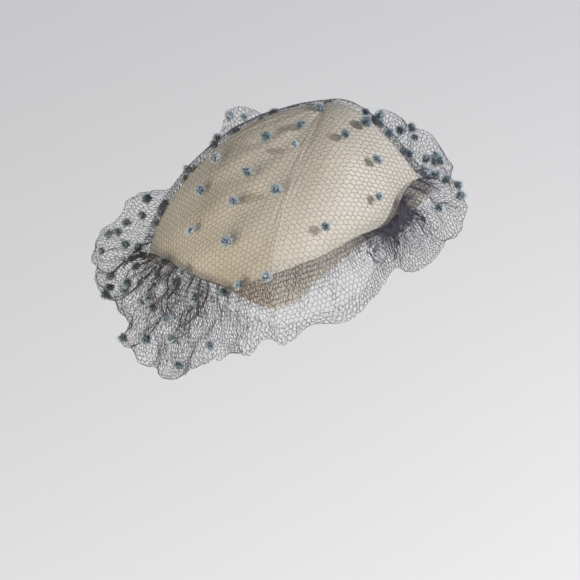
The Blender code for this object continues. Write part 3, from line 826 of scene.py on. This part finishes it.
def tuft_object():
    """One tuft: a rough ball set with fine fibres. The attribute tip is 0 inside, 1 outside."""
    draw = np.random.default_rng(17)
    work = bmesh.new()
    bmesh.ops.create_icosphere(work, subdivisions=2, radius=0.5)
    core = [v.co.copy() for v in work.verts]
    for vertex in work.verts:
        vertex.co = vertex.co * draw.uniform(*CORE_REACH)
    for _ in range(FIBRES_FROM_EACH):
        for way in core:
            way = np.array(way) * 2 + draw.normal(0, FIBRE_SPREAD, 3)
            way = way / np.linalg.norm(way)
            side = np.cross(way, draw.normal(0, 1, 3))
            side = side / np.linalg.norm(side)
            other = np.cross(way, side)
            root = FIBRE_ROOT * way
            tip = way * draw.uniform(*FIBRE_REACH) + draw.normal(0, TIP_SPREAD, 3)
            ring = [
                root + FIBRE_HALF_WIDTH * (math.cos(a) * side + math.sin(a) * other)
                for a in (0, 2.1, 4.2)
            ]
            verts = [work.verts.new(p) for p in ring] + [work.verts.new(tip)]
            for i in range(3):
                work.faces.new((verts[i], verts[(i + 1) % 3], verts[3]))
    mesh = bpy.data.meshes.new("tuft")
    work.to_mesh(mesh)
    work.free()
    out = np.array([v.co.length for v in mesh.vertices])
    layer = mesh.attributes.new("tip", "FLOAT", "POINT")
    tips = np.clip((out - TIP_FROM) / TIP_RANGE, 0, 1)
    layer.data.foreach_set("value", tips.astype(np.float32))
    mesh.shade_smooth()
    tuft = bpy.data.objects.new("tuft", mesh)
    bpy.context.scene.collection.objects.link(tuft)
    return tuft


dot_tree, inputs, outputs = geometry_tree(
    "chenille_dots",
    (("Tuft", "NodeSocketObject", None), ("Finish", "NodeSocketMaterial", None)),
)
shape = add_node(dot_tree, "GeometryNodeObjectInfo", {"Object": inputs.outputs["Tuft"]})
turn, size = (
    add_node(dot_tree, "GeometryNodeInputNamedAttribute", data_type="FLOAT_VECTOR", Name=label)
    for label in ("turn", "size")
)
dots = add_node(
    dot_tree, "GeometryNodeInstanceOnPoints",
    {"Points": inputs.outputs["Geometry"], "Instance": shape.outputs["Geometry"],
     "Rotation": turn.outputs["Attribute"], "Scale": size.outputs["Attribute"]},
)
real = add_node(dot_tree, "GeometryNodeRealizeInstances", {"Geometry": dots.outputs["Instances"]})
finish = add_node(
    dot_tree, "GeometryNodeSetMaterial",
    {"Geometry": real.outputs["Geometry"], "Material": inputs.outputs["Finish"]},
)
dot_tree.links.new(finish.outputs["Geometry"], outputs.inputs["Geometry"])

# The tufts darken towards their core: painted shade among the fibres, broken by random dark
# flecks.
PAINTED_CORE_SHADE = (0.020, 0.040, 0.070)
TUFT_BLUE = (0.700, 0.830, 0.900)
TUFT_GREEN = (0.150, 0.270, 0.300)
TUFT_ROUGHNESS = 0.85
SPECK_SCALE = 750.0
SPECK_WEIGHT = 1.3
SHADE_AND_SPECK_FROM, SHADE_AND_SPECK_TO = 0.85, 1.25
GREENISH, GREENISH_SPREAD = 0.25, 0.35
chenille, tree, shader = new_material("chenille", TUFT_BLUE, TUFT_ROUGHNESS)
tip = add_node(tree, "ShaderNodeAttribute", attribute_name="tip").outputs["Fac"]
shade = add_node(tree, "ShaderNodeAttribute", attribute_name="shade").outputs["Fac"]
dye = add_node(tree, "ShaderNodeMix", {"Factor": shade}, data_type="RGBA")
dye.inputs[6].default_value = (*TUFT_BLUE, 1.0)
dye.inputs[7].default_value = (*TUFT_GREEN, 1.0)
place = add_node(tree, "ShaderNodeTexCoord").outputs["Object"]
speck = add_node(tree, "ShaderNodeTexNoise", {"Vector": place}, Scale=SPECK_SCALE, Detail=1.0)
# How far out of the painted core shade each spot is: its depth in the tuft plus random specks.
specks_and_depth = add_node(
    tree, "ShaderNodeMath", {0: speck.outputs["Fac"], 2: tip}, operation="MULTIPLY_ADD",
)
specks_and_depth.inputs[1].default_value = SPECK_WEIGHT
core_shade_and_flecks = add_node(
    tree, "ShaderNodeMapRange", {"Value": specks_and_depth.outputs[0]},
    From_Min=SHADE_AND_SPECK_FROM, From_Max=SHADE_AND_SPECK_TO,
)
# Mixes the painted core shade into the dye.
depth = add_node(tree, "ShaderNodeMix", {"Factor": core_shade_and_flecks.outputs["Result"]}, data_type="RGBA")
depth.inputs[6].default_value = (*PAINTED_CORE_SHADE, 1.0)
tree.links.new(dye.outputs[2], depth.inputs[7])
tree.links.new(depth.outputs[2], shader.inputs["Base Color"])
shader.inputs["Sheen Weight"].default_value = 0.6
shader.inputs["Sheen Roughness"].default_value = 0.5

draw = np.random.default_rng(23)
table = np.array(CROWN_DOTS)
gore, u, t = table[:, 0].astype(int), table[:, 1], table[:, 2]
off = net_standoff(gore + u, t) + DOT_PROUD
on_crown = crown_point(gore, u, t) + off[:, None] * crown_normal(gore, u, t)
table = np.array(RUFFLE_DOTS)
on_ruffle = crumpled(table[:, 0], table[:, 1])
tuft = tuft_object()
for name, node, points in (
    ("crown_dots", "veil_crown", on_crown),
    ("ruffle_dots", "veil_ruffle", on_ruffle),
):
    count = len(points)
    piece = grow(
        name, points, [], dot_tree, {"Tuft": tuft, "Finish": chenille},
        [
            ("turn", "FLOAT_VECTOR", draw.uniform(0, 2 * math.pi, (count, 3))),
            ("size", "FLOAT_VECTOR", DOT_SIZE * draw.uniform(*DOT_SIZE_SHARES, (count, 3))),
            ("shade", "FLOAT", np.clip(draw.normal(GREENISH, GREENISH_SPREAD, count), 0, 1)),
        ],
    )
    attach(piece, "root")
    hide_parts(node)
bpy.data.objects.remove(tuft)

# The studio: a pale floor well below the hat, a lamp to the right that throws the dots'
# shadows on the satin, a warm one from the lower left, and soft light from all round.
FLOOR_BELOW = 0.45
FLOOR_SIZE = 30.0
FLOOR_COLOUR = (0.80, 0.80, 0.815)
SKY_COLOUR = (0.80, 0.82, 0.85)
SKY_STRENGTH = 0.33
floor = plain_mesh(
    "floor",
    np.array([(-1, -1, 0), (1, -1, 0), (1, 1, 0), (-1, 1, 0)]) * 0.5 * FLOOR_SIZE
    - FLOOR_BELOW * UP,
    [(0, 1, 2, 3)],
)
pale, _, shader = new_material("pale_floor", FLOOR_COLOUR, 0.9)
shader.inputs["Specular IOR Level"].default_value = 0.0
floor.data.materials.append(pale)

world = bpy.data.worlds.new("studio")
bpy.context.scene.world = world
world.use_nodes = True
sky = world.node_tree.nodes["Background"]
sky.inputs["Color"].default_value = (*SKY_COLOUR, 1.0)
sky.inputs["Strength"].default_value = SKY_STRENGTH

AZIMUTH, ELEVATION, ROLL = (math.radians(angle) for angle in (13.8, 28.9, 20.7))
DISTANCE = 1.2
LENS = 120.1
AIM_RIGHT, AIM_UP = 0.00124, -0.0372
toward = np.array([
    math.sin(AZIMUTH) * math.cos(ELEVATION),
    -math.cos(AZIMUTH) * math.cos(ELEVATION),
    math.sin(ELEVATION),
])
level_right = np.array([math.cos(AZIMUTH), math.sin(AZIMUTH), 0.0])
level_up = np.cross(toward, level_right)
right = math.cos(ROLL) * level_right - math.sin(ROLL) * level_up
upward = math.sin(ROLL) * level_right + math.cos(ROLL) * level_up


def aimed(thing, place, target, up):
    """The object at a place, looking at the target with its top towards up."""
    back = unit(np.asarray(place) - np.asarray(target))
    across = unit(np.cross(up, back))
    axes = np.stack([across, np.cross(back, across), back], axis=1)
    matrix = np.eye(4)
    matrix[:3, :3] = axes
    matrix[:3, 3] = place
    thing.matrix_world = Matrix(matrix.tolist())
    bpy.context.scene.collection.objects.link(thing)


def lamp(name, place, target, size, power, colour):
    light = bpy.data.lights.new(name, "AREA")
    light.shape = "DISK"
    light.size = size
    light.energy = power
    light.color = colour
    aimed(bpy.data.objects.new(name, light), place, target, upward)


LAMPS = (
    # name, way to it right, up and towards the camera, distance, size, power, colour
    ("key", (0.74, 0.26, 0.62), 1.6, 0.015, 16.6, (1.0, 1.02, 1.09)),
    ("fill", (-0.60, -0.36, 0.72), 1.8, 1.4, 22.0, (1.0, 0.89, 0.70)),
)
WASH_PLACE = np.array([-1.5, 0.9, -0.15])
WASH_SIZE = 7.0
WASH_POWER = 44.0
for name, (to_right, to_top, to_camera), away, size, power, colour in LAMPS:
    way = unit(to_right * right + to_top * upward + to_camera * toward)
    lamp(name, way * away, np.zeros(3), size, power, colour)
lamp("floor_wash", WASH_PLACE, WASH_PLACE - UP, WASH_SIZE, WASH_POWER, (1.0, 1.0, 1.0))

camera = bpy.data.cameras.new("camera")
camera.lens = LENS
camera.sensor_width = 36.0
view = bpy.data.objects.new("camera", camera)
aimed(view, DISTANCE * toward, AIM_RIGHT * right + AIM_UP * upward, upward)
bpy.context.scene.camera = view
bpy.context.scene.view_settings.view_transform = "Standard"
